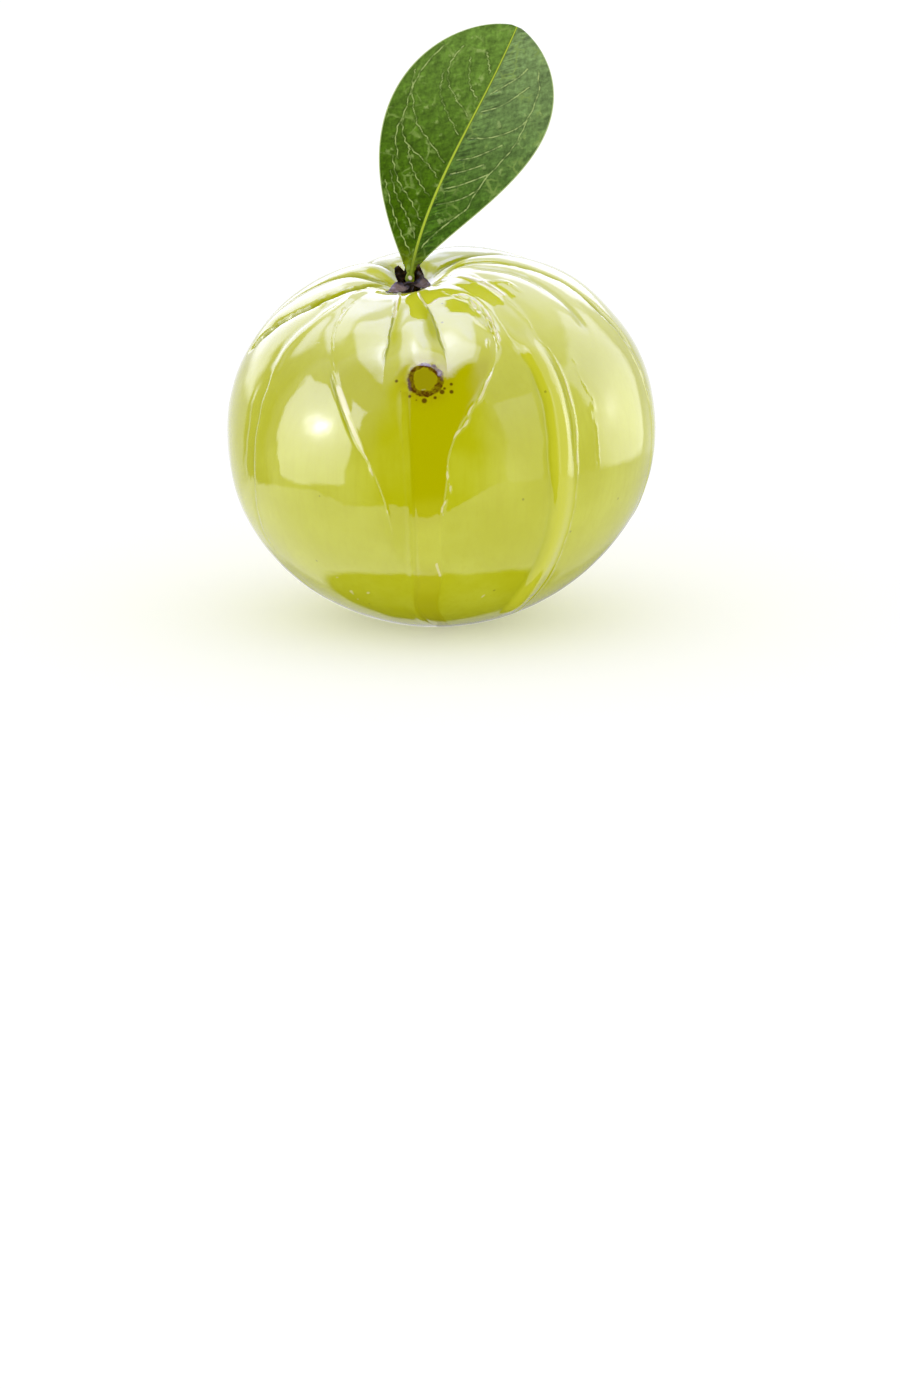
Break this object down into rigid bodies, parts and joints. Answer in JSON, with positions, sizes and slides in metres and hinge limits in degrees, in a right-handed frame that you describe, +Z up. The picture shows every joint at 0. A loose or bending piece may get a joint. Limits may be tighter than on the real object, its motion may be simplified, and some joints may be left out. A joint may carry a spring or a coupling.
{
  "type": "indian gooseberry",
  "caption": "Whole glazed Indian gooseberry (amla) on a small flat spot, with a sunken stalk, dry calyx lobes and one upright leaf.",
  "frame": {"origin": "on the flat spot that the fruit rests on, straight below the middle of its widest ring", "axes": "+Z up, away from the surface it rests on; -Y is the front, towards which the stalk leans a little; +X is to the right seen from the front"},
  "size_m": [0.038, 0.0379, 0.0522],
  "materials": {
    "fruit_skin": "yellow-green translucent skin under a clear syrup glaze, wet gloss",
    "stalk": "dark dry stalk wood, rough",
    "calyx": "dry papery dark brown lobes under a film of syrup",
    "leaf": "waxy green leaf blade, satin, paler midrib and margin"
  },
  "bodies": {
    "root": {"fruit": "fruit_skin", "stalk_stub": "stalk", "calyx_lobe_1": "calyx", "calyx_lobe_2": "calyx", "calyx_lobe_3": "calyx", "calyx_lobe_4": "calyx", "calyx_lobe_5": "calyx", "calyx_lobe_6": "calyx", "leaf": "leaf"}
  },
  "joints": []
}
